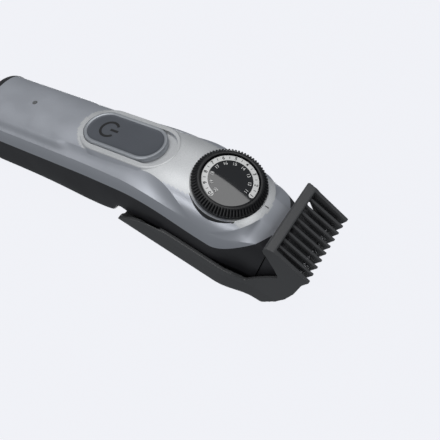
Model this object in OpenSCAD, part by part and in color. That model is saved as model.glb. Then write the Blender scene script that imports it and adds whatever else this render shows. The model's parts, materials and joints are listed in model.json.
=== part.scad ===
// Cordless beard trimmer with a length dial and a sliding guide comb.
// Everything is drawn in the head frame: origin at the dial's centre on the front face,
// +X towards the comb, +Z out of the dial. lay() then puts the trimmer on its back.

/* [Body] */
// Greatest half width of the body, beside the dial
head_half_w = 18.2; // [18:0.1:18.4]
// Half width of the handle
grip_half_w = 16.2; // [15.8:0.1:16.4]
// Depth of the body under the dial
head_depth = 39.5; // [39:0.1:39.8]
// Depth of the handle
grip_depth = 33.6; // [33.2:0.1:34]
// Fall of the handle behind the dial, per unit of length
bend_slope = 0.38; // [0.37:0.005:0.39]
// Wall of both casings
wall = 2.2; // [2:0.1:2.3]

/* [Dial] */
// Outer radius of the knurled ring
dial_r = 15; // [14.5:0.1:15.2]
// Radius of the face disc
disc_r = 11.4; // [11:0.1:11.5]
// Number of ribs round the ring
ribs = 72; // [60:1:80]
// Part of a turn taken by the scale, in degrees
scale_angle = 270; // [240:10:280]

/* [Comb] */
// Half width across the comb's cheeks
cheek_half_w = 16.6; // [16.4:0.1:16.8]
// Thickness of a comb tooth
tooth_t = 1.1; // [0.9:0.1:1.3]
// Number of teeth between the cheeks
teeth = 8; // [6:1:9]
// Wall of the comb's sleeve
sleeve_wall = 1.6; // [1.5:0.1:1.7]
// Gap between the sleeve and the housing
sleeve_gap = 0.4; // [0.35:0.05:0.45]

/* [Cutter] */
// Half width of the fixed blade
blade_half_w = 14.2; // [13.8:0.1:14.3]
// Pitch of the fixed blade's teeth
blade_pitch = 1.42; // [1.3:0.02:1.5]
// Throw of the eccentric pin
throw = 1; // [0.8:0.1:1]

/* [Power switch] */
// Length of the button
button_l = 39; // [38:0.5:40]
// Half width of the button
button_r = 9; // [8.8:0.1:9.2]
// Travel of the button towards the dial
button_travel = 4; // [3.6:0.1:4]

/* [Hidden] */
$fn = 48;

lay_tilt = 11.7;        // nose-down turn that sets the tail and the comb on one plane
lay_height = 45.8;      // dial centre above the surface the trimmer lies on
lay_shift = 42.2;        // dial centre ahead of the middle of the length

neck_x = 26;            // front end of both casings
tail_x = -116;          // rear end of both casings, on the top line
cap_end_x = -123.2;     // rear end of the cap
bend_x = -18;           // where the handle starts to fall away
grip_tilt = atan(bend_slope);
arc_steps = 20;         // steps round each half of a body section
ledge = 0.2;            // how far the rear housing stands inside the front shell's edge
eps = 0.02;

collar_z = -0.3;        // flat seat under the dial ring
skirt_z = -1.6;         // lower edge of the ring's skirt
seat_z = 0.05;          // underside of the dial ring
seat_r = dial_r + 0.25;
shaft_r = 3;
running_gap = 0.05;
pinion_teeth = 8;
gear_module = 0.5;
pitch_r = pinion_teeth * gear_module / 2;
pinion_z = [-10.5, -7.35];
turn_range = 270;
comb_travel = pitch_r * PI * turn_range / 180;

motor_z = -22.2;
motor_r = 8.5;
motor_x = [-6, 18];
chassis_z = -36;
lug_x = [-6, 0];
lug_z = [-30.5, -27.5];
groove_y = 19.3;

button_x = -47.6;       // middle of the button, on the top line
recess_r = button_r + 0.4;
recess_z = -2;
cell_r = 6.9;
cell_z = -20;
cell_x = [-57, -8];
board_x = [-56, 14];
board_z = [-8.2, -7];
light_x = -50;
tail_screw_x = -61.4;
case_screw_at = [-24, 11.5];
socket_z = -16;

blade_tip = [41, -6.5];
blade_tilt = 15;        // lean of the blades, back from straight down
blade_l = 15.5;
blade_t = 0.8;
cutter_t = 0.7;
cutter_half_w = 12.3;
cutter_gap = 0.05;

// ---- formulas ----

function softplus(v, s) = s * ln(1 + exp(v / s));
function smooth(t) = let (u = min(1, max(0, t))) u * u * (3 - 2 * u);
function sgn(v) = v < 0 ? -1 : 1;
function span(a, b, n) = [for (i = [0:n]) a + (b - a) * i / n];

// Height of the top line, and the lean of the section that starts there
function top_z(x) = -bend_slope * softplus(bend_x - x, 6) - 0.025 * pow(max(0, x - 14), 2);
function lean(x) = grip_tilt * smooth((-28 - x) / 36);
// Level under the comb, then a shoulder behind it that runs out into the handle
function body_depth(x) =
  let (head = head_depth + top_z(max(x, -40)) - 0.037 * pow(max(0, x - 16), 2))
  head + (grip_depth - head) * smooth((-36 - x) / 34)
  + 4.5 * exp(-pow((x + 54) / 26, 2)) * smooth((-41 - x) / 9);
function half_w(x) = grip_half_w + (head_half_w - grip_half_w) * smooth((x + 66) / 60)
                     - 4 * smooth((x - 4) / 23);
// Depth of the widest line, and how far above it the casings part
function mid_depth(x) = 14 + 3.6 * smooth((x + 40) / 40);
function part_rise(x) = min(0.95, 1.2 * smooth((x - 4.6) / 27.6));

// Squareness of the upper half of the section: flatter round the dial
function crown_power(x) = 3 + 0.4 * smooth((x + 45) / 30);
base_power = 6.5;

// A point of the body's section at x: across, and height above the top line
function section_point(x, a, inset) =
  let (mid = mid_depth(x), c = cos(a), s = sin(a), n = s >= 0 ? crown_power(x) : base_power,
       w = half_w(x) - inset - (s >= 0 ? 0 : ledge),
       reach = s >= 0 ? mid - inset : body_depth(x) - mid - inset)
  [w * sgn(c) * pow(abs(c), 2 / n), -mid + sgn(s) * reach * pow(abs(s), 2 / n)];
section_angles = concat([for (i = [arc_steps:-1:0]) 180 * i / arc_steps],
                        [for (i = [0:arc_steps]) -0.3 - 179.4 * i / arc_steps]);
function set_on_line(x, p) = let (a = lean(x)) [x - p[1] * sin(a), p[0], top_z(x) + p[1] * cos(a)];
function body_ring(x, inset) =
  [for (a = section_angles) set_on_line(x, section_point(x, a, inset))];

function body_stations(x0, x1) = concat([for (i = [0:7]) x0 + (-64 - x0) * i / 8],
                                        span(-64, -34, 10), [for (i = [1:13]) -34 + (x1 + 34) * i / 13]);

// A point of the blades: n out of the fixed blade's inner face, u down from its tips
function blade_point(n, u) = [blade_tip[0] + n * cos(blade_tilt) - u * sin(blade_tilt),
                              blade_tip[1] - n * sin(blade_tilt) - u * cos(blade_tilt)];

// ---- helpers ----

module lay() {
  translate([lay_shift, 0, lay_height]) rotate([0, lay_tilt, 0]) children();
}

// Frame on the handle's top line: +X along the handle towards the dial
module on_grip(x = button_x) {
  translate([x, 0, top_z(x)]) rotate([0, -grip_tilt, 0]) children();
}

// Keeps smooth casings as one mesh
module casing_mesh() {
  resize([0, 0, 0]) children();
}

// Skin over rings that run towards +X, each counted from +Y through the bottom
module loft(rings) {
  n = len(rings[0]);
  last = len(rings) - 1;
  points = [for (r = rings) each r];
  sides = [for (i = [0:last - 1], j = [0:n - 1])
    let (k = (j + 1) % n) each [
      [i * n + j, i * n + k, (i + 1) * n + k],
      [i * n + j, (i + 1) * n + k, (i + 1) * n + j]
    ]];
  ends = [[for (j = [n - 1:-1:0]) j], [for (j = [0:n - 1]) last * n + j]];
  polyhedron(points = points, faces = concat(sides, ends), convexity = 6);
}

// Side profile in X and Z, spread evenly about the middle plane
module side_plate(outline, half) {
  translate([0, half, 0]) rotate([90, 0, 0]) linear_extrude(2 * half) polygon(outline);
}

module block(x, half_y, z) {
  translate([x[0], -half_y, z[0]]) cube([x[1] - x[0], 2 * half_y, z[1] - z[0]]);
}

module stadium(x0, x1, r, z0, z1) {
  translate([0, 0, z0]) linear_extrude(z1 - z0) {
    translate([x0 + r, 0]) circle(r);
    translate([x1 - r, 0]) circle(r);
    translate([x0 + r, -r]) square([x1 - x0 - 2 * r, 2 * r]);
  }
}

module rod_x(x0, x1, r, z = motor_z) {
  translate([x0, 0, z]) rotate([0, 90, 0]) cylinder(h = x1 - x0, r = r);
}

module rod_z(z0, z1, r) {
  translate([0, 0, z0]) cylinder(h = z1 - z0, r = r);
}

module body_solid(inset, overrun = 0) {
  loft([for (x = body_stations(tail_x - overrun, neck_x + overrun)) body_ring(x, inset)]);
}

// Everything above the line where the casings part
module upper_half(drop = 0) {
  loft([for (x = body_stations(tail_x - 6, neck_x + 6))
    let (mid = mid_depth(x), h = -mid + mid * part_rise(x) - drop)
    [for (p = [[30, h], [-30, h], [-30, 12], [30, 12]]) set_on_line(x, p)]]);
}

module above_table() {
  translate([-200, -50, 0]) cube([400, 100, 100]);
}

module case_screw_places() {
  for (side = [-1, 1]) translate([case_screw_at[0], side * case_screw_at[1], 0]) children();
}

// ---- casings ----

module front_shell() {
  color("silver") lay() casing_mesh() difference() {
    intersection() {
      union() {
        body_solid(0);
        on_grip() stadium(-22.2, 26.2, button_r + 2.4, -6, -0.4);
        translate([0, 0, -7]) cylinder(h = 7 + skirt_z - 0.15, r1 = head_half_w - 0.1, r2 = seat_r + 0.4);
      }
      upper_half();
    }
    difference() {
      body_solid(wall, 1);
      on_grip() stadium(-22, 26, button_r + 2.2, recess_z - 1.9, 0);
      case_screw_places() rod_z(-19.8, 0, 2.6);
      on_grip() translate([tail_screw_x, 0, 0]) rod_z(-14, 0, 2.6);
    }
    rod_z(-8, 1, shaft_r + 0.6);
    rod_z(collar_z, 3, seat_r);
    difference() {
      rod_z(skirt_z - 0.15, 3, seat_r);
      rod_z(-3, 3, seat_r - 1.6);
    }
    on_grip() {
      stadium(-button_l / 2 - 0.4, button_l / 2 + button_travel + 0.4, recess_r, recess_z, 3);
      block([-2.3, 2.3 + button_travel], 2.3, [-8, 0]);
      translate([light_x, 0, 0]) rod_z(-6, 2, 1.15);
      translate([tail_screw_x, 0, 0]) rod_z(-15, -4, 1.2);
    }
    case_screw_places() rod_z(-21, -8, 1.2);
  }
}

module rear_housing() {
  color("dimgray") casing_mesh() intersection() {
    above_table();
    lay() difference() {
      body_solid(0);
      difference() {
        body_solid(wall, 1);
        case_screw_places() rod_z(-40, -20, 3.4);
        on_grip() translate([tail_screw_x, 0, 0]) rod_z(-35, -14.2, 3.2);
      }
      upper_half(0.15);
      case_screw_places() {
        rod_z(-45, -36.2, 2.4);
        rod_z(-45, -10, 1.3);
      }
      on_grip() translate([tail_screw_x, 0, 0]) {
        rod_z(-38, -30.5, 2.4);
        rod_z(-38, -10, 1.3);
      }
      block([lug_x[0] - 0.4, lug_x[1] + comb_travel + 0.4], 30, [lug_z[0] - 0.2, lug_z[1] + 0.2]);
    }
  }
}

module end_cap() {
  color("dimgray") casing_mesh() intersection() {
    above_table();
    lay() difference() {
      union() {
        loft([for (t = span(1, 0, 8))
          body_ring(tail_x - 0.1 + (cap_end_x - tail_x) * sin(90 * t), 7 * (1 - cos(90 * t)))]);
        loft([for (x = [tail_x - 1, tail_x + 5]) body_ring(x, wall + 0.15)]);
      }
      loft([for (x = [tail_x + 1, tail_x + 6]) body_ring(x, wall + 1.6)]);
      on_grip(tail_x) block([-20, 10], 6.6, [socket_z - 5, socket_z + 5]);
    }
  }
}

module charging_socket() {
  color("black") lay() on_grip(tail_x) difference() {
    block([-7.6, 3], 6.6, [socket_z - 5, socket_z + 5]);
    block([-8, 0.4], 5.25, [socket_z - 3.5, socket_z + 3.5]);
    for (y = [-2.6, 2.6]) translate([0, y, 0]) rod_x(-1, 4, 0.9, socket_z);
  }
}

module socket_pins() {
  color("silver") lay() on_grip(tail_x)
    for (y = [-2.6, 2.6]) translate([0, y, 0]) rod_x(-2.6, 4.5, 0.9, socket_z);
}

module neck_gasket() {
  color("black") lay() difference() {
    block([neck_x - 0.5, neck_x + 0.35], 10.6, [-29, -12]);
    block([neck_x - 1, neck_x + 1], 7, [-28, -15.5]);
  }
}

// ---- length dial ----

module dial_ring() {
  color("black") lay() union() {
    rotate_extrude($fn = 96) polygon([
      [shaft_r, seat_z], [seat_r - 1.4, seat_z], [seat_r - 1.4, skirt_z], [dial_r - 0.3, skirt_z],
      [dial_r - 0.3, 0], [dial_r - 0.6, 0.4], [dial_r - 0.6, 1.1], [12.6, 3],
      [disc_r + 0.2, 3], [disc_r + 0.2, 0.7], [shaft_r, 0.7]
    ]);
    translate([0, 0, 0.35]) linear_extrude(0.65) difference() {
      polygon([for (i = [0:2 * ribs - 1])
        let (a = 180 * i / ribs, r = i % 2 == 0 ? dial_r : dial_r - 0.8) r * [cos(a), sin(a)]]);
      circle(dial_r - 2, $fn = 96);
    }
  }
}

module dial_disc() {
  color("dimgray") lay() rotate_extrude($fn = 96) polygon([
    [0, 0.72], [disc_r, 0.72], [disc_r, 2], [disc_r - 0.3, 2.3], [8.4, 2.35], [8.2, 2.5], [4, 2.7], [0, 2.8]
  ]);
}

module dial_scale() {
  color("white") lay() rotate([0, 0, -5]) translate([0, 0, 2.4])
    linear_extrude(0.15) intersection() {
      difference() {
        circle(disc_r - 0.45, $fn = 96);
        circle(8.6, $fn = 96);
      }
      polygon(concat([[0, 0]], [for (a = [0:15:scale_angle]) 2 * disc_r * [cos(a), sin(a)]]));
    }
}

module dial_shaft() {
  color("lightgray") lay() rotate_extrude() polygon([
    [0, pinion_z[0]], [0.9, pinion_z[0]], [0.9, -7.3], [shaft_r, -7.3], [shaft_r, -7],
    [2.5, -7], [2.5, -6.5], [shaft_r, -6.5], [shaft_r, 0.7], [0, 0.7]
  ]);
}

module drive_pinion() {
  color("ivory") lay() translate([0, 0, pinion_z[0]]) linear_extrude(pinion_z[1] - pinion_z[0])
    difference() {
      union() {
        circle(pitch_r - 0.55);
        for (i = [0:pinion_teeth - 1]) rotate(360 * (i + 0.5) / pinion_teeth + 90)
          polygon([[0, -0.42], [1.4, -0.42], [2.35, -0.12], [2.35, 0.12], [1.4, 0.42], [0, 0.42]]);
      }
      circle(0.9);
    }
}

module dial_clip() {
  color("lightgray") lay() translate([0, 0, -7]) linear_extrude(0.5) difference() {
    circle(4.4);
    circle(2.5);
    translate([0, -1.8]) square([6, 3.6]);
  }
}

module dial_washer() {
  color("black") lay() translate([0, 0, collar_z + eps]) linear_extrude(seat_z - collar_z - 2 * eps)
    difference() {
      circle(8);
      circle(4.2);
    }
}

module dial_bearing() {
  color("white") lay() difference() {
    union() {
      block([-8, 8], 6.5, [-4.4, -3.2]);
      rod_z(-6.45, -2.65, 4.6);
    }
    rod_z(-8, 0, shaft_r + running_gap);
  }
}

// ---- comb ----

module comb_carriage() {
  rack_pitch = PI * gear_module;
  color("ivory") lay() union() {
    block([-10, 4], 13.9, [-12.3, -10.8]);
    translate([-13.6, 2.55, -10.85]) cube([17.4, 3, 3.35]);
    translate([0, 0, -10.85]) linear_extrude(3.35) for (i = [-8:2])
      translate([i * rack_pitch, 0])
        polygon([[-0.4, 2.6], [-0.15, 1.62], [0.15, 1.62], [0.4, 2.6]]);
    for (side = [-1, 1]) scale([1, side, 1]) {
      translate([lug_x[0], 12.4, lug_z[0]]) cube([lug_x[1] - lug_x[0], 1.5, -10.8 - lug_z[0]]);
      translate([lug_x[0], 12.4, lug_z[0]])
        cube([lug_x[1] - lug_x[0], groove_y - 0.2 - 12.4, lug_z[1] - lug_z[0]]);
    }
  }
}

// Half width of the comb's outer face above its ridge line
function comb_half_w(x) = let (wide = head_half_w - ledge + sleeve_gap + sleeve_wall)
  wide - (wide - cheek_half_w) * smooth((x - 13) / 17);
// Level of the comb's floor, outside
comb_floor = -head_depth - sleeve_gap - sleeve_wall;
comb_flare = 0.7;       // how far the sleeve spreads below its ridge line
ridge_z = -30.5;
corner_r = 5;

// Section of the comb's envelope: straight to the ridge line, spreading below it, round corners
function comb_ring(x, inset, rise) =
  let (w = comb_half_w(x) - inset, low = comb_floor + inset + rise, r = corner_r - inset / 2,
       near = concat([[w, 12], [w, ridge_z]], [for (a = span(0, 90, 6))
         [w + comb_flare - r + r * cos(a), low + r - r * sin(a)]]))
  [for (p = concat(near, [for (i = [len(near) - 1:-1:0]) [-near[i][0], near[i][1]]])) [x, p[0], p[1]]];

comb_stations = concat([-38, 0], span(10, 46, 12));

// Side outline of the comb, from the front bar round the teeth and back along the sleeve
comb_outline = [
  [24.6, 2.6], [25.4, 3.4], [28.4, 3.4], [43, -2.2], [45, -3], [43.3, -7.7], [42.6, -17.4],
  [40.9, -25.3], [38.5, -31], [33, -38], [27, -42], [-32, -42], [-36, -39.5], [-35.4, -37.6],
  [-30, -32.6], [-22, -28.6], [-14, -26.6], [-8, -26.3], [18, -26.3], [23.5, -27.6], [34, -13.4],
  [34, -11.8], [25.4, -1], [24.6, 0.4]
];

// Inner edge of a tooth, from the bar down to the floor
tooth_inside = [
  [29, 0], [32, -2], [38, -4], [41.2, -5], blade_point(1.25, -0.4), blade_point(1.25, 10),
  blade_point(1.5, 16.5), [34, -28.5], [29, -34], [25, -38.5]
];

module guide_comb() {
  pitch = 2 * (cheek_half_w - 0.9) / (teeth + 1);
  color("gray") casing_mesh() intersection() {
    above_table();
    lay() union() {
      difference() {
        intersection() {
          loft([for (x = comb_stations) comb_ring(x, 0, 0)]);
          side_plate(comb_outline, 30);
        }
        // the space for the housing, behind and under the front bar
        intersection() {
          loft([for (x = comb_stations) comb_ring(x, sleeve_wall, 0.055 * pow(max(0, x - 20), 1.9))]);
          side_plate([[-50, 0], [-50, -50], [60, -50], [60, 20], [29.2, 20], [28.8, 0.2], [28, 0]], 40);
        }
        // the open front between the cheeks
        side_plate([[33, -50], [60, -50], [60, 20], [29.2, 20], [29.2, -20], [33, -27]],
                   cheek_half_w - sleeve_wall - 0.2);
        // the carriage lugs' grooves, open to the rear
        block([-50, lug_x[1] + 0.2], groove_y, [lug_z[0] - 0.2, lug_z[1] + 0.2]);
      }
      intersection() {
        loft([for (x = comb_stations) comb_ring(x, 0.3, 0)]);
        for (i = [1:teeth]) translate([0, -cheek_half_w + 0.9 + i * pitch, 0])
          side_plate(concat([[27, 2.4], [42.8, -2.6], [44.8, -3.1], [43.1, -7.7], [42.4, -17.4],
                             [40.7, -25.3], [38.3, -30.8], [32.8, -37.8], [27, -40.5]],
                            [for (i = [len(tooth_inside) - 1:-1:0]) tooth_inside[i]]), tooth_t / 2);
      }
    }
  }
}

// ---- power switch, board and battery ----

module power_button() {
  color("gray") lay() on_grip() union() {
    stadium(-button_l / 2, button_l / 2, button_r, recess_z + 0.15, 0.2);
    stadium(-button_l / 2 + 0.7, button_l / 2 - 0.7, button_r - 0.7, 0, 0.6);
    block([-2, 2], 2, [-4.2, recess_z + 0.2]);
  }
}

module switch_slider() {
  color("black") lay() on_grip() union() {
    block([-6, 6], 5, [-5.2, -4.2]);
    block([-1, 1], 2.5, [-5.5, -5.1]);
  }
}

module circuit_board() {
  color("darkgreen") lay() on_grip() difference() {
    block(board_x, 9.5, board_z);
    for (y = [-7.5, 7.5]) translate([board_x[0] + 3, y, 0]) rod_z(-9, -6, 1);
  }
}

module board_parts() {
  color("black") lay() on_grip() {
    block([-5, 9], 3, [board_z[1], -5.7]);
    block([-30, -23], 3.5, [board_z[0] - 1.3, board_z[0]]);
    block([-16, -12], 2, [board_z[0] - 1.2, board_z[0]]);
    block([6, 11], 2.5, [board_z[0] - 4, board_z[0]]);
    translate([light_x, 0, 0]) block([-1.2, 1.2], 1, [board_z[1], -6.6]);
    translate([-38, 5, 0]) rod_z(board_z[1], -4.5, 2);
  }
}

module status_light() {
  color("white") lay() on_grip() translate([light_x, 0, 0]) rod_z(-6.58, 0.05, 1.1);
}

module battery_cell() {
  color("steelblue") lay() on_grip() union() {
    rod_x(cell_x[0], cell_x[1] - 1, cell_r, cell_z);
    rod_x(cell_x[1] - 1.1, cell_x[1], 2.6, cell_z);
  }
}

module battery_tabs() {
  color("lightgray") lay() on_grip() {
    block([cell_x[0] - 0.35, cell_x[0]], 3, [cell_z - 3, board_z[0]]);
    block([cell_x[1], cell_x[1] + 0.35], 3, [cell_z - 3, board_z[0]]);
  }
}

// ---- motor ----

module motor_chassis() {
  color("darkslategray") lay() difference() {
    union() {
      block([-10, 16.2], 10, [chassis_z, chassis_z + 1.5]);
      for (x = [-4, 13]) block([x, x + 3], 10, [chassis_z, -21.5]);
    }
    rod_x(-12, 20, motor_r + 0.05);
  }
}

module motor_can() {
  color("silver") lay() difference() {
    rod_x(motor_x[0], motor_x[1], motor_r);
    rod_x(motor_x[0] - 1, motor_x[1] - 1, motor_r - 0.8);
    rod_x(motor_x[0], motor_x[1] + 1, 1 + running_gap);
  }
}

module motor_magnets() {
  color("dimgray") lay() difference() {
    rod_x(-1, 13, motor_r - 0.85);
    rod_x(-2, 14, 6.5);
    translate([-3, -1.5, motor_z - 10]) cube([18, 3, 20]);
  }
}

module motor_end_bell() {
  color("white") lay() difference() {
    union() {
      rod_x(-9, motor_x[0], motor_r - 0.2);
      rod_x(motor_x[0], motor_x[0] + 2, motor_r - 0.85);
    }
    rod_x(-8, 0, 1 + running_gap);
  }
}

module armature() {
  color("peru") lay() difference() {
    rod_x(-1, 13, 6);
    rod_x(-2, 14, 1);
    for (a = [0:60:300]) translate([0, 0, motor_z]) rotate([a, 0, 0])
      translate([-2, -0.6, 4]) cube([16, 1.2, 3]);
  }
}

module motor_shaft() {
  color("lightgray") lay() rod_x(-7.5, 24.5, 1);
}

module eccentric_hub() {
  color("ivory") lay() difference() {
    union() {
      rod_x(19.5, 25.2, 3);
      rod_x(25, 34, 1, motor_z + throw);
    }
    rod_x(19, 24.5, 1);
  }
}

// ---- cutter ----

module blade_holder() {
  color("dimgray") lay() difference() {
    side_plate([[26.4, -31], [26.4, -9.5], [30, -7.4], [34, -6.4], blade_point(-1, 1.2),
                blade_point(-1, 11.3), blade_point(-eps, 11.3), blade_point(-eps, blade_l),
                [34, -27], [28.5, -31]], 13.6);
    side_plate([[26, -28.5], [26, -16], [30.6, -16], [33, -11.2], [35.8, -9.2], blade_point(-0.5, 3.2),
                blade_point(-0.5, 10.9), blade_point(-1.15, 11), [36.2, -19], [36.2, -26.8], [31, -28.5]], 6.3);
    for (y = [-9, 9]) blade_screw(y, 0.8);
    translate([30.9, 12, -18]) rotate([90, 0, 0]) cylinder(h = 24, r = 0.45);
  }
}

module blade_screw(y, r) {
  at = blade_point(0, 13.3);
  translate([at[0], y, at[1]]) rotate([0, 90 + blade_tilt, 0]) translate([0, 0, -5]) cylinder(h = 5.1, r = r);
}

module blade_head(y, r) {
  at = blade_point(0, 13.3);
  translate([at[0], y, at[1]]) rotate([0, 90 + blade_tilt, 0]) cylinder(h = blade_t - 0.05, r = r);
}

// Comb-shaped plate in the blade plane: across and down from the tips
module blade_plate(half_w, u0, u1, pitch, depth, n0, n1) {
  count = floor(half_w / pitch);
  at = blade_point(n0, 0);
  translate([at[0], 0, at[1]]) rotate([0, blade_tilt, 0]) rotate([0, 90, 0])
    linear_extrude(n1 - n0) difference() {
      translate([u0, -half_w]) square([u1 - u0, 2 * half_w]);
      for (i = [-count:count - 1]) translate([u0 - 1, (i + 0.5) * pitch])
        polygon([[0, -0.44 * pitch], [depth + 0.6, -0.22 * pitch], [depth + 1, 0],
                 [depth + 0.6, 0.22 * pitch], [0, 0.44 * pitch]]);
    }
}

module fixed_blade() {
  color("silver") lay() difference() {
    blade_plate(blade_half_w, 0, blade_l, blade_pitch, 3.4, 0, blade_t);
    for (y = [-9, 9]) {
      blade_head(y, 1.7);
      translate([0.6, 0, 0]) blade_screw(y, 1.7);
    }
  }
}

module moving_blade() {
  color("lightgray") lay()
    blade_plate(cutter_half_w, 0.9, 10.8, 2 * blade_pitch, 3, -cutter_gap - cutter_t, -cutter_gap);
}

module cutter_bridge() {
  back = -cutter_gap - cutter_t;
  color("ivory") lay() difference() {
    side_plate([blade_point(back, 4), blade_point(back, 9.5), [35.5, -19], [35.5, -26], [31.5, -26],
                [31.5, -17], [33.5, -12], [36, -10]], 4.6);
    block([31, 36.5], 3.1, [motor_z - 2.4, motor_z + 2.4]);
  }
}

module blade_spring() {
  color("lightgray") lay() translate([30.9, 12, -18]) rotate([90, 0, 0]) cylinder(h = 24, r = 0.4);
}

module blade_screws() {
  color("lightgray") lay() for (y = [-9, 9]) {
    blade_screw(y, 0.8);
    blade_head(y, 1.65);
  }
}

module case_screws() {
  color("lightgray") lay() {
    case_screw_places() {
      rod_z(-37.6, -36.25, 2.2);
      rod_z(-36.3, -12, 1.1);
    }
    on_grip() translate([tail_screw_x, 0, 0]) {
      rod_z(-31.9, -30.55, 2.2);
      rod_z(-30.6, -6, 1.1);
    }
  }
}

front_shell();
rear_housing();
end_cap();
charging_socket();
socket_pins();
neck_gasket();
dial_ring();
dial_disc();
dial_scale();
dial_shaft();
drive_pinion();
dial_clip();
dial_washer();
dial_bearing();
comb_carriage();
guide_comb();
power_button();
switch_slider();
circuit_board();
board_parts();
status_light();
battery_cell();
battery_tabs();
motor_chassis();
motor_can();
motor_magnets();
motor_end_bell();
armature();
motor_shaft();
eccentric_hub();
blade_holder();
fixed_blade();
moving_blade();
cutter_bridge();
blade_spring();
blade_screws();
case_screws();
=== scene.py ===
"""Cordless beard trimmer: its looks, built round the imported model.

Pieces are shaped in millimetres in the head frame (origin at the dial's centre on the front
face, +X to the comb, +Z out of the dial) and then set into the model's own frame.
"""
import json
from math import atan, cos, degrees, exp, hypot, log, pi, radians, sin, sqrt

import bmesh
import bpy
import numpy as np
from mathutils import Matrix, Vector


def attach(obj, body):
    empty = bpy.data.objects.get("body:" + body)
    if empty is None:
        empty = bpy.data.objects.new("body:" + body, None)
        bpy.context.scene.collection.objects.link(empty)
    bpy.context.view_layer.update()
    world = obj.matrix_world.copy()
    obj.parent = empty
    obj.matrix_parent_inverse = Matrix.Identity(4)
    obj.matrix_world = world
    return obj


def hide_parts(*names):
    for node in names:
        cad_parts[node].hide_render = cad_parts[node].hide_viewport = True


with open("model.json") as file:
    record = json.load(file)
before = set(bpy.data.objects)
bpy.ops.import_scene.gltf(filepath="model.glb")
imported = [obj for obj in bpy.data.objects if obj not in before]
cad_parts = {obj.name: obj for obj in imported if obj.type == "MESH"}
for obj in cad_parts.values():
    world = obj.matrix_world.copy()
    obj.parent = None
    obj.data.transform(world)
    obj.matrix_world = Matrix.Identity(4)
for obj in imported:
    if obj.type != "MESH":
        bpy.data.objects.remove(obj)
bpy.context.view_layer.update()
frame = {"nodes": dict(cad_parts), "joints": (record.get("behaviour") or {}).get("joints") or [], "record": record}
nodes = frame["nodes"]
joints = {j["name"]: j for j in frame["joints"]}
MM = 0.001

# ---- the head frame, from the dial's axis and the comb's direction ----

dial_centre = Vector(joints["dial_turn"]["pos_m"])
head_z = -Vector(joints["dial_turn"]["axis"]).normalized()
head_x = Vector(joints["carriage_slide"]["axis"]).normalized()
head_y = head_z.cross(head_x)
TO_ROW = Matrix.Translation(dial_centre) @ Matrix((head_x, head_y, head_z)).transposed().to_4x4() \
    @ Matrix.Scale(MM, 4)

# ---- driving dimensions, in millimetres ----

HEAD_HALF_W, GRIP_HALF_W = 18.2, 16.2
HEAD_DEPTH, GRIP_DEPTH = 39.5, 33.6
BEND_SLOPE, BEND_X = 0.38, -18
WALL, LEDGE = 2.2, 0.2
NECK_X, TAIL_X, CAP_END_X = 26, -116, -123.2
BASE_POWER = 6.5
GRIP_TILT = atan(BEND_SLOPE)

DIAL_R, DISC_R, RIBS = 15, 11.4, 72
RIM_R, HUB_R, HUB_Z, RIM_Z = 11.6, 3, 0.05, 3.04
# SKIRT_R: radius of the collar's upright wall, which is painted black as the dial's skirt and as painted shadow
# under the dial.
SEAT_R, SEAT_Z, SKIRT_R, SKIRT_Z = 15.25, -0.3, 15.75, -1.6
COLLAR_R, COLLAR_Z, COLLAR_FOOT_Z = 18.1, -1.75, -8
SHAFT_BORE_R = 3.6
SCALE_TURN, SCALE_START = 257, -5
SCALE_STEPS, FIRST_INNER_NUMBER = 9, 11
SCALE_IN_R, SCALE_OUT_R = 8.75, 10.95
OUTER_NUMBER_R, INNER_NUMBER_R = 9.83, 7.3

BUTTON_X, BUTTON_L, BUTTON_R, BUTTON_TRAVEL = -47.6, 39, 9, 4
PAD_MARGIN, PAD_R = 2.7, BUTTON_R + 3.6
NECK_FLAT = 5.5

# The light's and the tail screw's x are taken along the handle from the button, as on_grip() does.
LIGHT_X, LIGHT_R = -50, 1.15
SCREW_X, SCREW_Y, SCREW_FOOT_Z = -24, 11.5, -45
TAIL_SCREW_X, TAIL_SCREW_FOOT_Z = -61.4, -38
WELL_R, SCREW_BORE_R = 2.4, 1.3
INLET_HALF_W, INLET_Z = 6.6, (-21, -11)


# ---- formulas of the body, as in the model ----

def softplus(v, s):
    return s * log(1 + exp(v / s))


def smooth(t):
    u = min(1, max(0, t))
    return u * u * (3 - 2 * u)


def mix(a, b, t):
    return a + (b - a) * t


def top_z(x):
    return -BEND_SLOPE * softplus(BEND_X - x, 6) - 0.025 * max(0, x - 14) ** 2


def lean(x):
    return GRIP_TILT * smooth((-28 - x) / 36)


def body_depth(x):
    head = HEAD_DEPTH + top_z(max(x, -40)) - 0.037 * max(0, x - 16) ** 2
    return head + (GRIP_DEPTH - head) * smooth((-36 - x) / 34) \
        + 4.5 * exp(-((x + 54) / 26) ** 2) * smooth((-41 - x) / 9)


def half_w(x):
    return mix(GRIP_HALF_W, HEAD_HALF_W, smooth((x + 66) / 60)) - 4 * smooth((x - 4) / 23)


def mid_depth(x):
    return 14 + 3.6 * smooth((x + 40) / 40)


def part_rise(x):
    return min(0.95, 1.2 * smooth((x - 4.6) / 27.6))


def crown_power(x):
    return 3 + 0.4 * smooth((x + 45) / 30)


def oval_point(w, reach, power, angle):
    """A point of a superellipse at a polar angle, in radians."""
    c, s = cos(angle), sin(angle)
    rho = (abs(c) ** power + abs(s) ** power) ** (-1 / power)
    return w * rho * c, reach * rho * s


def set_on_line(x, y, h):
    a = lean(x)
    return (x - h * sin(a), y, top_z(x) + h * cos(a))


def upper_point(x, angle, inset=0):
    mid = mid_depth(x)
    y, h = oval_point(half_w(x) - inset, mid - inset, crown_power(x), angle)
    return y, h - mid


def lower_point(x, angle, inset=0):
    mid = mid_depth(x)
    y, h = oval_point(half_w(x) - inset - LEDGE, body_depth(x) - mid - inset, BASE_POWER, angle)
    return y, -mid - h


def angle_where(x, test):
    """The lowest angle of the upper section from which test(y, height) holds."""
    low, high = 0.0, pi / 2
    for _ in range(24):
        mid = (low + high) / 2
        if test(*upper_point(x, mid)):
            high = mid
        else:
            low = mid
    return high


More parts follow.
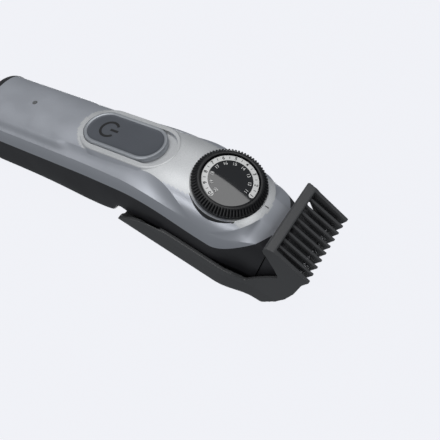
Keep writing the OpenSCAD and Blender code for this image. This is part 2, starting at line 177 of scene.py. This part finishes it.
# The shell's upper face is a plateau that widens into the dial's collar. Below its edge a
# hollowed flank runs down to a crease, and below the crease the side stands upright.

def plateau_half_w(x):
    flare = mix(11.6, COLLAR_R - 0.3, smooth((x + 30) / 28))
    if x < 2:
        return flare
    return max(NECK_FLAT, min(flare, sqrt(max(0, COLLAR_R ** 2 - x * x))))


def crease_depth(x):
    return mix(6.7, 9.2, smooth((x + 40) / 30)) - 5.6 * smooth((x - 6) / 20)


def flank_share(x):
    """How much of the flank's hollow is there: it runs out to a point beside the dial."""
    return max(1 - smooth((x + 14) / 10), 0.5 * smooth((x - 1.5) / 7))


# ---- mesh helpers ----

def new_object(name, verts, faces):
    mesh = bpy.data.meshes.new(name)
    mesh.from_pydata([tuple(v) for v in verts], [], faces)
    obj = bpy.data.objects.new(name, mesh)
    bpy.context.scene.collection.objects.link(obj)
    return obj


def loft(name, rings):
    """Closed skin over rings of equal length."""
    n = len(rings[0])
    verts = [p for ring in rings for p in ring]
    faces = []
    for i in range(len(rings) - 1):
        for j in range(n):
            k = (j + 1) % n
            faces.append((i * n + j, i * n + k, (i + 1) * n + k, (i + 1) * n + j))
    last = (len(rings) - 1) * n
    faces.append(tuple(range(n - 1, -1, -1)))
    faces.append(tuple(last + j for j in range(n)))
    obj = new_object(name, verts, faces)
    outward(obj)
    return obj


def outward(obj):
    bm = bmesh.new()
    bm.from_mesh(obj.data)
    bmesh.ops.recalc_face_normals(bm, faces=bm.faces)
    if bm.calc_volume(signed=True) < 0:
        bmesh.ops.reverse_faces(bm, faces=bm.faces)
    bm.to_mesh(obj.data)
    bm.free()


def lathe(name, profile, steps=192, shape=None):
    """Turns a closed profile of (radius, height); shape(radius, height, angle) may change it."""
    verts, faces = [], []
    n = len(profile)
    for i in range(steps):
        a = 2 * pi * i / steps
        for r, z in profile:
            if shape:
                r, z = shape(r, z, a)
            verts.append((r * cos(a), r * sin(a), z))
    for i in range(steps):
        k = (i + 1) % steps
        for j in range(n):
            m = (j + 1) % n
            faces.append((i * n + j, k * n + j, k * n + m, i * n + m))
    obj = new_object(name, verts, faces)
    bm = bmesh.new()
    bm.from_mesh(obj.data)
    bmesh.ops.remove_doubles(bm, verts=bm.verts, dist=1e-5)
    bm.to_mesh(obj.data)
    bm.free()
    outward(obj)
    return obj


def apply_modifiers(obj):
    bpy.context.view_layer.update()
    evaluated = obj.evaluated_get(bpy.context.evaluated_depsgraph_get())
    mesh = bpy.data.meshes.new_from_object(evaluated)
    obj.modifiers.clear()
    old = obj.data
    obj.data = mesh
    bpy.data.meshes.remove(old)


def combine(obj, tool, operation):
    """Boolean of two closed meshes; the tool is used up."""
    modifier = obj.modifiers.new("solid", "BOOLEAN")
    modifier.operation = operation
    modifier.object = tool
    modifier.solver = "MANIFOLD"
    apply_modifiers(obj)
    bpy.data.objects.remove(tool)


def cut(obj, *tools):
    """Takes the tools away from a piece, one after the other."""
    for tool in tools:
        combine(obj, tool, "DIFFERENCE")


def on_grip(obj, x=BUTTON_X):
    """Moves a mesh from the frame on the handle's top line into the head frame."""
    obj.data.transform(Matrix.Translation((x, 0, top_z(x))) @ Matrix.Rotation(-GRIP_TILT, 4, "Y"))
    return obj


def stadium_ring(x0, x1, r, z, steps=28):
    ends = [(x1 - r, -pi / 2), (x0 + r, pi / 2)]
    return [(cx + r * cos(a0 + pi * i / steps), r * sin(a0 + pi * i / steps), z)
            for cx, a0 in ends for i in range(steps + 1)]


def stadium(name, x0, x1, r, levels):
    """Stadium-shaped solid: levels are (height, inset) from the bottom up."""
    return loft(name, [stadium_ring(x0 + d, x1 - d, r - d, z) for z, d in levels])


def rod(name, x, y, z0, z1, r, steps=40):
    ring = [(x + r * cos(2 * pi * i / steps), y + r * sin(2 * pi * i / steps)) for i in range(steps)]
    return loft(name, [[(px, py, z) for px, py in ring] for z in (z0, z1)])


def block(name, low, high):
    xs, ys, zs = zip(low, high)
    ring = [(0, 0), (1, 0), (1, 1), (0, 1)]
    return loft(name, [[(xs[i], ys[j], z) for i, j in ring] for z in zs])


def settle(obj, body, materials, replaces=(), angle=32):
    """Shades a finished piece, sets it into the model's frame and gives it its body."""
    mesh = obj.data
    mesh.transform(TO_ROW)
    chosen = [face.material_index for face in mesh.polygons]
    mesh.materials.clear()
    for material in materials:
        mesh.materials.append(material)
    mesh.polygons.foreach_set("material_index", [min(i, len(materials) - 1) for i in chosen])
    mesh.shade_smooth()
    mesh.set_sharp_from_angle(angle=radians(angle))
    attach(obj, body)
    if replaces:
        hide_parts(*replaces)
    return obj


# ---- materials ----

def plastic(name, colour, rough, metal=0.0, grain=0.0, grain_mm=0.4, tint=0.06, coat=0.0,
            sparkle=0.0, rough_spread=0.06):
    """Moulded or painted surface: uneven tone and gloss, with a fine relief."""
    material = bpy.data.materials.new(name)
    material.use_nodes = True
    tree = material.node_tree
    shader = tree.nodes["Principled BSDF"]
    shader.inputs["Metallic"].default_value = metal
    shader.inputs["Coat Weight"].default_value = coat
    shader.inputs["Coat Roughness"].default_value = 0.12
    where = tree.nodes.new("ShaderNodeTexCoord")

    def noise(scale_mm, detail):
        node = tree.nodes.new("ShaderNodeTexNoise")
        node.inputs["Scale"].default_value = 1 / (scale_mm * MM)
        node.inputs["Detail"].default_value = detail
        tree.links.new(where.outputs["Object"], node.inputs["Vector"])
        return node

    def spread(source, low, high):
        node = tree.nodes.new("ShaderNodeMapRange")
        node.inputs["From Min"].default_value = 0.3
        node.inputs["From Max"].default_value = 0.7
        node.inputs["To Min"].default_value = low
        node.inputs["To Max"].default_value = high
        tree.links.new(source, node.inputs["Value"])
        return node.outputs["Result"]

    wide, fine = noise(14, 3), noise(grain_mm, 2)
    tone = tree.nodes.new("ShaderNodeMix")
    tone.data_type = "RGBA"
    tone.inputs["A"].default_value = (*[c * (1 - tint) for c in colour], 1)
    tone.inputs["B"].default_value = (*[min(1, c * (1 + tint)) for c in colour], 1)
    tree.links.new(wide.outputs["Fac"], tone.inputs["Factor"])
    paint = tone.outputs["Result"]
    if sparkle:
        flake = tree.nodes.new("ShaderNodeMix")
        flake.data_type = "RGBA"
        flake.blend_type = "MULTIPLY"
        flake.inputs["Factor"].default_value = 1
        grey = tree.nodes.new("ShaderNodeCombineColor")
        for channel in ("Red", "Green", "Blue"):
            tree.links.new(spread(fine.outputs["Fac"], 1 - sparkle, 1 + sparkle), grey.inputs[channel])
        tree.links.new(paint, flake.inputs["A"])
        tree.links.new(grey.outputs["Color"], flake.inputs["B"])
        paint = flake.outputs["Result"]
    tree.links.new(paint, shader.inputs["Base Color"])
    tree.links.new(spread(wide.outputs["Fac"], rough - rough_spread, rough + rough_spread),
                   shader.inputs["Roughness"])
    if grain:
        bump = tree.nodes.new("ShaderNodeBump")
        bump.inputs["Strength"].default_value = grain
        bump.inputs["Distance"].default_value = 0.03 * MM
        tree.links.new(fine.outputs["Fac"], bump.inputs["Height"])
        tree.links.new(bump.outputs["Normal"], shader.inputs["Normal"])
    return material


def winding_copper():
    """Copper wire, wound across the armature."""
    material = plastic("winding_copper", (0.55, 0.23, 0.09), 0.35, metal=0.9)
    tree = material.node_tree
    wave = tree.nodes.new("ShaderNodeTexWave")
    wave.inputs["Scale"].default_value = 700
    wave.inputs["Distortion"].default_value = 0.5
    where = tree.nodes.new("ShaderNodeTexCoord")
    bump = tree.nodes.new("ShaderNodeBump")
    bump.inputs["Strength"].default_value = 0.6
    bump.inputs["Distance"].default_value = 0.1 * MM
    tree.links.new(where.outputs["Object"], wave.inputs["Vector"])
    tree.links.new(wave.outputs["Fac"], bump.inputs["Height"])
    tree.links.new(bump.outputs["Normal"], tree.nodes["Principled BSDF"].inputs["Normal"])
    return material


def clear_lens():
    material = plastic("clear_lens", (0.9, 0.93, 0.95), 0.12, rough_spread=0.03)
    material.node_tree.nodes["Principled BSDF"].inputs["Transmission Weight"].default_value = 0.85
    return material


satin = plastic("shell_satin", (0.55, 0.57, 0.62), 0.38, metal=0.6, grain=0.05, tint=0.02)
pad_satin = plastic("shell_pad", (0.66, 0.67, 0.68), 0.45, metal=0.5, grain=0.25, grain_mm=0.22,
                    sparkle=0.10, tint=0.02)
black_shell = plastic("housing_matte", (0.020, 0.020, 0.023), 0.42, grain=0.35, grain_mm=0.3, tint=0.1)
comb_grey = plastic("comb_satin", (0.070, 0.071, 0.074), 0.36, grain=0.2, grain_mm=0.35, tint=0.1)
ring_black = plastic("ring_black", (0.006, 0.006, 0.007), 0.36, grain=0.1)
gloss_black = plastic("gloss_black", (0.008, 0.008, 0.010), 0.05, rough_spread=0.015)
gloss_black.node_tree.nodes["Principled BSDF"].inputs["IOR"].default_value = 1.9
print_white = plastic("print_white", (0.80, 0.80, 0.79), 0.45, tint=0.02)
print_black = plastic("print_black", (0.012, 0.012, 0.013), 0.5)
button_face = plastic("button_face", (0.13, 0.14, 0.16), 0.38, metal=0.5, grain=0.12, grain_mm=0.25,
                      tint=0.02)
button_rim = plastic("button_rim", (0.42, 0.44, 0.47), 0.36, metal=0.5, grain=0.08, tint=0.02)

FINISHES = {
    "silver_shell": satin,
    "dark_housing": black_shell,
    "comb_plastic": comb_grey,
    "black_gloss": gloss_black,
    "black_ring": ring_black,
    "scale_white": print_white,
    "button_grey": button_face,
    "inner_white": plastic("moulded_white", (0.72, 0.71, 0.68), 0.4, grain=0.2),
    "seal_rubber": plastic("seal_rubber", (0.02, 0.02, 0.02), 0.75, grain=0.5, grain_mm=0.3),
    "steel": plastic("ground_steel", (0.58, 0.58, 0.59), 0.24, metal=1.0, grain=0.3, grain_mm=0.15),
    "motor_steel": plastic("plated_steel", (0.52, 0.52, 0.50), 0.32, metal=1.0, grain=0.1),
    "winding": winding_copper(),
    "cell_jacket": plastic("cell_jacket", (0.04, 0.14, 0.30), 0.3, coat=0.4),
    "board_green": plastic("board_mask", (0.01, 0.11, 0.04), 0.35, grain=0.3, grain_mm=0.8, tint=0.2),
    "chip_black": plastic("chip_resin", (0.015, 0.015, 0.016), 0.55, grain=0.4, grain_mm=0.2),
    "light_clear": clear_lens(),
}


def finish_frame_nodes():
    """Every node gets the procedural finish of its slot. The carriage matches the comb it holds."""
    for part in frame["record"]["subparts"]:
        obj = nodes.get(part["node"])
        if obj is None:
            continue
        obj.data.materials.clear()
        beside_comb = part["node"] == "comb_carriage"
        obj.data.materials.append(comb_grey if beside_comb else FINISHES[part["material_slot"]])
        obj.data.shade_smooth()
        obj.data.set_sharp_from_angle(angle=radians(30))


# ---- the casings ----

BAND_STEPS, FLANK_STEPS, TOP_STEPS, BASE_STEPS = 7, 12, 20, 96
ROUND_STEPS = 160


def crease_angles(x):
    """Angles of the crease and of the plateau's edge."""
    edge_w, depth = plateau_half_w(x), crease_depth(x)
    edge = angle_where(x, lambda y, h: y <= max(edge_w, 0.5))
    crease = angle_where(x, lambda y, h: h >= -depth)
    crease = min(crease, edge - 0.02)
    return max(crease, 0.02), edge


def upper_half_ring(x):
    """One side of the shell's section, from the widest line up to the top: (across, height)."""
    crease, edge = crease_angles(x)
    ring = [upper_point(x, crease * i / BAND_STEPS) for i in range(BAND_STEPS)]
    foot, brow = upper_point(x, crease), upper_point(x, edge)
    edge_share = smooth((x + 74) / 8)
    for i in range(FLANK_STEPS):
        t = i / FLANK_STEPS
        y, h = upper_point(x, mix(crease, edge, t))
        chord_y, chord_h = mix(foot[0], brow[0], t), mix(foot[1], brow[1], t)
        hollow = flank_share(x) * (1 - (1 - edge_share) * smooth(t))
        dip = 0.35 * sin(pi * t) * hollow
        ring.append((mix(y, chord_y, hollow) - dip * 0.6, mix(h, chord_h, hollow) - dip * 0.8))
    ring += [upper_point(x, mix(edge, pi / 2, i / TOP_STEPS)) for i in range(TOP_STEPS)]
    return ring


def lower_points(x, steps, inset=0):
    """The lower half of the section, a little inside its two ends, where the upper half begins."""
    start = 0.02
    return [lower_point(x, pi * (i + start) / (steps + 2 * start), inset) for i in range(steps + 1)]


def fine_ring(x):
    side = upper_half_ring(x)
    top = upper_point(x, pi / 2)
    base = lower_points(x, BASE_STEPS)
    across = side + [top] + [(-y, h) for y, h in reversed(side)] + [(-y, h) for y, h in base]
    return [set_on_line(x, y, h) for y, h in across]


def plain_ring(x, inset):
    steps = 48
    upper = [upper_point(x, pi * i / steps, inset) for i in range(steps + 1)]
    across = upper + [(-y, h) for y, h in lower_points(x, 40, inset)]
    return [set_on_line(x, y, h) for y, h in across]


def stations(x0, x1, step):
    count = max(2, round((x1 - x0) / step))
    return [mix(x0, x1, i / count) for i in range(count + 1)]


def body_skin(name):
    return loft(name, [fine_ring(x) for x in stations(TAIL_X, NECK_X, 0.7)])


def body_core(name):
    return loft(name, [plain_ring(x, WALL) for x in stations(TAIL_X - 1, NECK_X + 1, 2.5)])


def above_parting(name, drop=0.0):
    rings = []
    for x in stations(TAIL_X - 6, NECK_X + 6, 1.0):
        mid = mid_depth(x)
        h = -mid + mid * part_rise(x) - drop
        rings.append([set_on_line(x, y, z) for y, z in ((30, h), (-30, h), (-30, 12), (30, 12))])
    return loft(name, rings)


def paint_plateau(obj):
    """The plateau, pad and collar take the second material, the step under the dial the third: black, for the
    dial's black skirt and for painted shadow under the dial.
    """
    pad_end = -BUTTON_L / 2 - PAD_MARGIN + PAD_R
    for face in obj.data.polygons:
        x, y, z = face.center
        up = face.normal.z
        along = (x - BUTTON_X) * cos(GRIP_TILT) + (z - top_z(BUTTON_X)) * sin(GRIP_TILT)
        in_end = hypot(max(0, pad_end - along), y) < PAD_R - 0.05
        ahead = x < 0 or hypot(x, y) < COLLAR_R
        plateau = abs(y) < plateau_half_w(x) - 0.05 and up > 0
        step = hypot(x, y) < SKIRT_R + 0.05 and COLLAR_FOOT_Z - 1 < z < COLLAR_Z + 0.05
        # The step's upright faces are painted black: partly the dial's black skirt, partly painted shadow under
        # the dial.
        skirt_and_shade_riser = step and (abs(up) < 0.05 or COLLAR_Z - 0.22 < z and abs(up) < 0.9)
        face.material_index = 2 if skirt_and_shade_riser else 1 if plateau and in_end and ahead else 0


def front_shell():
    """Silver half: pad, collar, dial seat, button recess with its slot, and the light's hole."""
    rear, front = -BUTTON_L / 2, BUTTON_L / 2 + BUTTON_TRAVEL
    shell = body_skin("front_shell_fine")
    pad = stadium("pad", rear - PAD_MARGIN, front + PAD_MARGIN, PAD_R,
                  [(-6, 0), (-3.2, 0.15), (-0.9, 0.95), (-0.55, 1.2), (-0.42, 1.5)])
    combine(shell, on_grip(pad), "UNION")
    # The collar's upright wall shows below the crown beside the dial; paint_plateau paints it black, as the dial's
    # skirt and as painted shadow under the dial.
    collar = [(0, COLLAR_FOOT_Z), (SKIRT_R, COLLAR_FOOT_Z), (SKIRT_R, COLLAR_Z - 0.2),
              (SKIRT_R - 0.2, COLLAR_Z), (0, COLLAR_Z)]
    combine(shell, lathe("collar", collar, ROUND_STEPS), "UNION")
    combine(shell, above_parting("parting"), "INTERSECT")

    core = body_core("core")
    cut(core, on_grip(stadium("keep", -22, 26, BUTTON_R + WALL, [(-3.9, 0), (0, 0)])))
    cut(shell, core)
    cut(shell, rod("bore", 0, 0, COLLAR_FOOT_Z, 1, SHAFT_BORE_R))
    cut(shell, rod("seat", 0, 0, SEAT_Z, 4, SEAT_R, ROUND_STEPS))
    inner_r = SEAT_R - 1.6
    skirt_gap = [(inner_r, SKIRT_Z - 0.3), (SEAT_R, SKIRT_Z - 0.3), (SEAT_R, 3), (inner_r, 3)]
    cut(shell, lathe("skirt_gap", skirt_gap, ROUND_STEPS))
    recess = stadium("recess", rear - 0.3, front + 0.4, BUTTON_R + 0.35,
                     [(-2, 0.3), (-1.6, 0.05), (-0.2, 0), (3, 0)])
    slot_half = 2.3
    slot_cut = block("slot_cut", (-slot_half, -slot_half, -8), (slot_half + BUTTON_TRAVEL, slot_half, 0))
    cut(shell, on_grip(recess), on_grip(slot_cut), on_grip(rod("light_hole", LIGHT_X, 0, -6, 2, LIGHT_R)))
    paint_plateau(shell)
    return settle(shell, "body", [satin, pad_satin, ring_black], ["front_shell"], 20)


def table_cut(obj):
    """Takes off what would pass through the table, the ground plane of the model's frame."""
    low = block("table", (-250, -60, -80), (250, 60, 0))
    to_head = TO_ROW.inverted() @ Matrix.Scale(MM, 4)
    low.data.transform(to_head)
    cut(obj, low)


def rear_housing():
    """Black half, with posts round its three screws and a slot for the carriage's lugs."""
    housing = body_skin("rear_housing_fine")
    cut(housing, above_parting("parting", 0.15))
    core = body_core("core")
    for side in (-1, 1):
        cut(core, rod("post", SCREW_X, side * SCREW_Y, -40, -20, WELL_R + 1))
    cut(core, on_grip(rod("tail_post", TAIL_SCREW_X, 0, -35, -14.2, WELL_R + 0.8)))
    cut(housing, core)
    table_cut(housing)
    for side in (-1, 1):
        cut(housing, rod("screw_well", SCREW_X, side * SCREW_Y, SCREW_FOOT_Z, -36.2, WELL_R))
        cut(housing, rod("screw_bore", SCREW_X, side * SCREW_Y, SCREW_FOOT_Z, -10, SCREW_BORE_R))
    cut(housing, on_grip(rod("tail_well", TAIL_SCREW_X, 0, TAIL_SCREW_FOOT_Z, -30.5, WELL_R)))
    cut(housing, on_grip(rod("tail_bore", TAIL_SCREW_X, 0, TAIL_SCREW_FOOT_Z, -10, SCREW_BORE_R)))
    cut(housing, block("lug_slot", (-6.4, -30, -30.7), (9.9, 30, -27.3)))
    return settle(housing, "body", [black_shell], ["rear_housing"], 25)


def end_cap():
    """Tail cap: the section shrinks along a quarter ellipse, and a lip goes into the casings."""
    rounding, steps = 7, 16
    rings = []
    for i in range(steps + 1):
        a = pi / 2 * (1 - i / steps)
        x = TAIL_X - 0.1 + (CAP_END_X - TAIL_X) * sin(a)
        rings.append(plain_ring(x, rounding * (1 - cos(a))))
    cap = loft("end_cap_fine", rings)
    lip = loft("lip", [plain_ring(x, WALL + 0.15) for x in (TAIL_X - 1, TAIL_X + 5)])
    combine(cap, lip, "UNION")
    hollow = loft("hollow", [plain_ring(x, WALL + 1.6) for x in (TAIL_X + 1, TAIL_X + 6)])
    cut(cap, hollow)
    low, high = INLET_Z
    inlet = block("inlet", (-20, -INLET_HALF_W, low), (10, INLET_HALF_W, high))
    cut(cap, on_grip(inlet, TAIL_X))
    table_cut(cap)
    return settle(cap, "body", [black_shell], ["end_cap"], 30)


# ---- the dial ----

def rib_shape(r, z, a):
    """Rounded ribs across the bevel and the upper edge, running out before the smooth rim."""
    rib_depth, rib_start, run_out = 0.62, 12.7, 0.9
    if z > -0.05 and r > 12.5:
        groove = 1 - abs(sin(a * RIBS / 2)) ** 0.7
        depth = rib_depth * groove * smooth((r - rib_start) / run_out)
        return r - depth, z - 0.45 * depth
    return r, z


def dial_ring():
    """Flat hub, skirt, ribbed bevel and smooth rim, as one closed profile."""
    bevel_steps, steps_per_rib = 8, 10
    bevel = []
    for i in range(bevel_steps + 1):
        t = i / bevel_steps
        bevel.append((mix(DIAL_R - 0.05, 12.75, t), mix(1.05, 2.95, t)))
    hub = [(HUB_R, HUB_Z), (13.85, HUB_Z)]
    skirt = [(13.85, SKIRT_Z), (14.55, SKIRT_Z), (14.7, SKIRT_Z + 0.15), (14.7, -0.1)]
    edge = [(14.75, 0.15), (DIAL_R - 0.05, 0.35), (DIAL_R, 0.7)]
    rim = [(12.5, RIM_Z), (11.8, RIM_Z), (RIM_R + 0.02, 2.95), (RIM_R, 0.7), (HUB_R, 0.7)]
    ring = lathe("dial_ring_fine", hub + skirt + edge + bevel + rim, RIBS * steps_per_rib, rib_shape)
    return settle(ring, "dial", [ring_black], ["dial_ring"], 40)


def dome(r):
    """Height of the disc's crowned face."""
    return 2.2 + 0.55 * (1 - (r / DISC_R) ** 2)


def dial_disc():
    centre_r, underside = 0.02, 0.72
    crown = [(r, dome(r)) for r in np.linspace(DISC_R - 0.12, centre_r, 26)]
    profile = [(centre_r, underside), (DISC_R, underside), (DISC_R, 2.1)] + crown
    disc = lathe("dial_disc_fine", profile, ROUND_STEPS)
    return settle(disc, "dial", [gloss_black], ["dial_disc"], 50)


def dial_scale():
    """White band with rounded ends, lying on the dome."""
    middle, half = (SCALE_IN_R + SCALE_OUT_R) / 2, (SCALE_OUT_R - SCALE_IN_R) / 2
    end = degrees(half / middle)
    verts, faces = [], []
    columns, rows = 180, 8
    for i in range(columns + 1):
        a = mix(-end, SCALE_TURN + end, i / columns)
        beyond = max(0, -a, a - SCALE_TURN) / end
        w = half * sqrt(max(0.0004, 1 - min(1, beyond) ** 2))
        for level in (0.07, -0.25):
            for j in range(rows + 1):
                r = middle + w * mix(-1, 1, j / rows)
                turn = radians(a + SCALE_START)
                verts.append((r * cos(turn), r * sin(turn), dome(r) + level))
    ring = 2 * (rows + 1)
    order = list(range(rows + 1)) + [rows + 1 + j for j in range(rows, -1, -1)]
    for i in range(columns):
        for k in range(ring):
            a, b = order[k], order[(k + 1) % ring]
            faces.append((i * ring + a, i * ring + b, (i + 1) * ring + b, (i + 1) * ring + a))
    faces.append(tuple(order))
    faces.append(tuple(columns * ring + k for k in reversed(order)))
    band = new_object("dial_scale_fine", verts, faces)
    outward(band)
    return settle(band, "dial", [print_white], ["dial_scale"], 40)


def lettering(name, marks, body, material, weight):
    """Raised print: marks are (text, size, radius, angle in degrees), and weight thickens them."""
    pieces = []
    for text, size, radius, angle in marks:
        curve = bpy.data.curves.new(name, "FONT")
        curve.body = text
        curve.size = size
        curve.align_x = "CENTER"
        curve.align_y = "CENTER"
        curve.extrude = 0.03
        curve.offset = weight
        curve.resolution_u = 3
        letter = bpy.data.objects.new(name, curve)
        bpy.context.scene.collection.objects.link(letter)
        bpy.context.view_layer.update()
        mesh = bpy.data.meshes.new_from_object(letter)
        bpy.data.objects.remove(letter)
        turn = Matrix.Rotation(radians(angle - 90), 4, "Z")
        mesh.transform(turn @ Matrix.Translation((0, radius, dome(radius) + 0.09)))
        pieces.append(mesh)
    bm = bmesh.new()
    for mesh in pieces:
        bm.from_mesh(mesh)
        bpy.data.meshes.remove(mesh)
    mesh = bpy.data.meshes.new(name)
    bm.to_mesh(mesh)
    bm.free()
    obj = bpy.data.objects.new(name, mesh)
    bpy.context.scene.collection.objects.link(obj)
    return settle(obj, body, [material])


def dial_print():
    """Dark 1 to 10 on the scale with strokes between, and white 11 to 20 inside it."""
    outer = []
    for i in range(2 * SCALE_STEPS + 1):
        angle = SCALE_START + SCALE_TURN * i / (2 * SCALE_STEPS)
        whole = i % 2 == 0
        text, size = (str(1 + i // 2), 2.0) if whole else ("I", 1.3)
        outer.append((text, size, OUTER_NUMBER_R, angle))
    inner = []
    for i in range(SCALE_STEPS + 1):
        angle = SCALE_START + SCALE_TURN * i / SCALE_STEPS
        inner.append((str(FIRST_INNER_NUMBER + i), 1.8, INNER_NUMBER_R, angle))
    lettering("scale_numerals", outer, "dial", print_black, 0.035)
    lettering("disc_numerals", inner, "dial", print_white, 0.0)


# ---- the power button ----

def power_button():
    """A crowned rim round a sunken face, and a foot that goes through the shell's slot."""
    rim_w = 1.4
    levels = [(-1.85, 0.25), (-1.7, 0), (0.0, 0), (0.3, 0.12), (0.5, 0.35), (0.56, 0.7), (0.5, 1.15),
              (0.34, 1.45), (0.24, 1.8), (0.2, 2.6)]
    button = stadium("power_button_fine", -BUTTON_L / 2, BUTTON_L / 2, BUTTON_R, levels)
    combine(button, block("foot", (-2, -2, -4.2), (2, 2, -1.7)), "UNION")
    for face in button.data.polygons:
        x, y, z = face.center
        inner = hypot(max(0, abs(x) - (BUTTON_L / 2 - BUTTON_R)), y) < BUTTON_R - rim_w
        face.material_index = 1 if inner and z > 0 else 0
    on_grip(button)
    return settle(button, "switch", [button_rim, button_face], ["power_button"], 28)


def power_symbol():
    """Open ring with a bar in the gap, pointing at the head."""
    centre, radius, width, level = -8.1, 3.85, 0.55, 0.17
    gap = radians(38)
    verts, faces = [], []

    def strip(path):
        start = len(verts)
        for (ax, ay), (nx, ny) in path:
            for side in (-1, 1):
                for z in (level, level + 0.1):
                    verts.append((centre + ax + side * width * nx, ay + side * width * ny, z))
        for i in range(len(path) - 1):
            a, b = start + 4 * i, start + 4 * (i + 1)
            for j, k in ((0, 1), (1, 3), (3, 2), (2, 0)):
                faces.append((a + j, a + k, b + k, b + j))
        faces.append((start, start + 2, start + 3, start + 1))
        last = start + 4 * (len(path) - 1)
        faces.append((last, last + 1, last + 3, last + 2))

    arc = [mix(gap, 2 * pi - gap, i / 48) for i in range(49)]
    strip([((radius * cos(a), radius * sin(a)), (cos(a), sin(a))) for a in arc])
    strip([((0.6, 0), (0, 1)), ((radius + 0.6, 0), (0, 1))])
    symbol = new_object("power_symbol", verts, faces)
    outward(symbol)
    on_grip(symbol)
    return settle(symbol, "switch", [print_black])


def index_mark():
    """Short dark line on the collar, against which the dial is read."""
    mark = block("index_mark", (15.7, -0.16, -0.75), (17.6, 0.16, -0.1))
    return settle(mark, "body", [print_black])


# ---- the comb ----

def softened(name, source, voxel, rounds):
    """A copy of a node with its edges rounded: remeshed finely, then relaxed."""
    obj = bpy.data.objects.new(name, nodes[source].data.copy())
    bpy.context.scene.collection.objects.link(obj)
    remesh = obj.modifiers.new("remesh", "REMESH")
    remesh.mode = "VOXEL"
    remesh.voxel_size = voxel * MM
    relax = obj.modifiers.new("relax", "SMOOTH")
    relax.factor = 0.5
    relax.iterations = rounds
    apply_modifiers(obj)
    obj.data.materials.clear()
    return obj


def guide_comb():
    comb = softened("guide_comb_fine", "guide_comb", 0.26, 4)
    comb.data.materials.append(comb_grey)
    comb.data.shade_smooth()
    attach(comb, "comb")
    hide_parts("guide_comb")
    return comb


# ---- the set ----

def studio():
    """A pale backdrop that only the camera sees, a dim surround and three soft panels."""
    floor = new_object("floor", [(-3, -3, 0), (3, -3, 0), (3, 3, 0), (-3, 3, 0)], [(0, 1, 2, 3)])
    floor.location.z = -0.0002
    paint = plastic("floor_paint", (0.02, 0.02, 0.02), 0.9, tint=0.01)
    glow = paint.node_tree.nodes["Principled BSDF"].inputs
    glow["Emission Color"].default_value = (0.861, 0.871, 0.914, 1)
    glow["Emission Strength"].default_value = 1
    glow["Specular IOR Level"].default_value = 0
    floor.data.materials.append(paint)
    floor.visible_glossy = False
    floor.visible_diffuse = False
    floor.visible_shadow = False

    world = bpy.data.worlds.new("studio")
    bpy.context.scene.world = world
    world.use_nodes = True
    backdrop = world.node_tree.nodes["Background"]
    backdrop.inputs["Color"].default_value = (0.90, 0.95, 1.0, 1)
    backdrop.inputs["Strength"].default_value = 0.2

    def panel(name, place, size, radiance):
        """A rectangular lamp in the head's directions, a metre or so off, facing the head."""
        light = bpy.data.lights.new(name, "AREA")
        light.shape = "RECTANGLE"
        light.size, light.size_y = size
        light.energy = radiance * pi * size[0] * size[1]
        lamp = bpy.data.objects.new(name, light)
        back = Vector(place).normalized()
        side = (Vector((1, 0, 0)) - back * back.x).normalized()
        turn = Matrix((head_x, head_y, head_z)).transposed()
        basis = turn @ Matrix((side, back.cross(side), back)).transposed()
        lamp.matrix_world = Matrix.Translation(turn @ Vector(place)) @ basis.to_4x4()
        bpy.context.scene.collection.objects.link(lamp)

    panel("overhead", (-0.35, 0.03, 1.0), (1.1, 1.06), 1.7)
    panel("near_side", (-0.25, -1.0, 0.6), (1.3, 0.5), 1.7)
    panel("under_edge", (0.0, 0.5, -0.85), (1.4, 0.7), 3.0)


def camera():
    """Where the camera stands in the head frame, in millimetres, and how it is turned."""
    stand = Vector((38.5, -135.1, 224.7))
    data = bpy.data.cameras.new("camera")
    data.sensor_width = 36
    data.lens = 57.27
    obj = bpy.data.objects.new("camera", data)
    bpy.context.scene.collection.objects.link(obj)
    back = Vector((0.129, -0.466, 0.875)).normalized()
    right = Vector((0.837, 0.524, 0.156))
    right = (right - back * right.dot(back)).normalized()
    up = back.cross(right)
    place = Matrix((right, up, back)).transposed().to_4x4()
    turn = Matrix((head_x, head_y, head_z)).transposed().to_4x4()
    obj.matrix_world = Matrix.Translation(TO_ROW @ stand) @ turn @ place
    bpy.context.scene.camera = obj


bpy.context.scene.view_settings.view_transform = "Standard"
studio()
camera()
finish_frame_nodes()
front_shell()
rear_housing()
end_cap()
dial_ring()
dial_disc()
dial_scale()
dial_print()
power_button()
power_symbol()
index_mark()
guide_comb()

bpy.context.view_layer.update()
